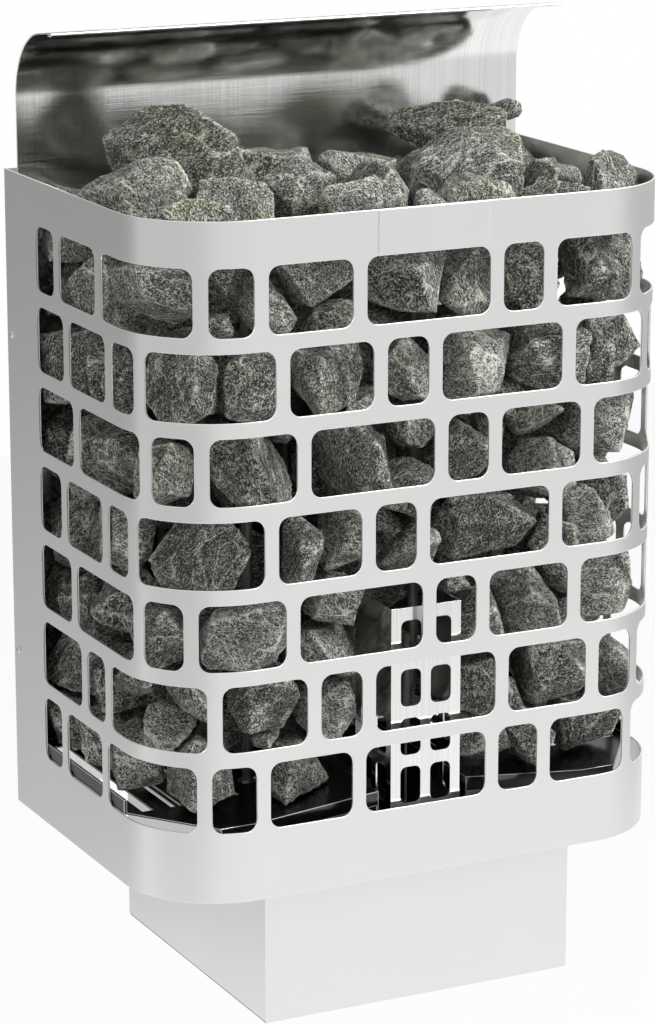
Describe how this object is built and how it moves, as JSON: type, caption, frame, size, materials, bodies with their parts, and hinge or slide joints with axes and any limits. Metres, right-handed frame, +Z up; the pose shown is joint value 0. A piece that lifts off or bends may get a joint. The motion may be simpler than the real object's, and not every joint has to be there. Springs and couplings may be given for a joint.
{
  "type": "sauna heater",
  "caption": "Wall-hung electric sauna heater: pierced satin steel jacket full of dark split stones, polished curled reflector behind, terminal box below, hook-on wall bracket.",
  "frame": {"origin": "on the wall plane, at the centre of the wall bracket's four screw holes", "axes": "+X runs to the right along the wall as seen from the front, +Y runs into the wall and the pierced front faces -Y, +Z is up"},
  "size_m": [0.4128, 0.2728, 0.6856],
  "materials": {
    "jacket_steel": "satin",
    "mirror_steel": "polished",
    "plain_steel": "satin",
    "sheath_steel": "satin, heat-dulled",
    "stone": "rough, split faces",
    "brass": "satin",
    "porcelain": "matte",
    "black_plastic": "fine grain",
    "red_plastic": "gloss",
    "black_rubber": "matte",
    "grey_insulation": "silicone",
    "blue_insulation": "silicone"
  },
  "bodies": {
    "bracket": {"wall_bracket": "plain_steel"},
    "heater": {"jacket": "jacket_steel", "name_plate": "jacket_steel", "side_screws": "plain_steel", "rear_panel": "plain_steel", "back_reflector": "mirror_steel", "wall_hangers": "plain_steel", "wall_spacers": "black_rubber", "terminal_box": "jacket_steel", "box_cover": "jacket_steel", "cover_screws": "plain_steel", "element_plate": "plain_steel", "plate_screws": "plain_steel", "heating_element_front": "sheath_steel", "heating_element_middle": "sheath_steel", "heating_element_rear": "sheath_steel", "element_ferrules": "brass", "element_nuts": "plain_steel", "element_beads": "porcelain", "air_channel": "mirror_steel", "channel_rivets": "plain_steel", "tray_left": "mirror_steel", "tray_right": "mirror_steel", "sensor_bulb": "sheath_steel", "sensor_clip": "plain_steel", "capillary_tube": "sheath_steel", "limiter_body": "black_plastic", "limiter_nut": "plain_steel", "terminal_block": "porcelain", "block_screws": "brass", "earth_stud": "brass", "earth_nuts": "brass", "cable_gland": "black_plastic", "gland_nut": "black_plastic", "phase_wires": "grey_insulation", "neutral_wires": "blue_insulation", "stones_front_low": "stone", "stones_front_high": "stone", "stones_left": "stone", "stones_right": "stone", "stones_core": "stone", "stones_top": "stone"},
    "button": {"reset_button": "red_plastic"}
  },
  "joints": [
    {"name": "lift_off", "type": "slide", "parent": "bracket", "child": "heater", "axis": [0, 0, 1], "range_m": [0, 0.03]},
    {"name": "reset_press", "type": "slide", "parent": "heater", "child": "button", "axis": [-1, 0, 0], "range_m": [0, 0.0025], "stiffness_N_per_m": 300}
  ]
}
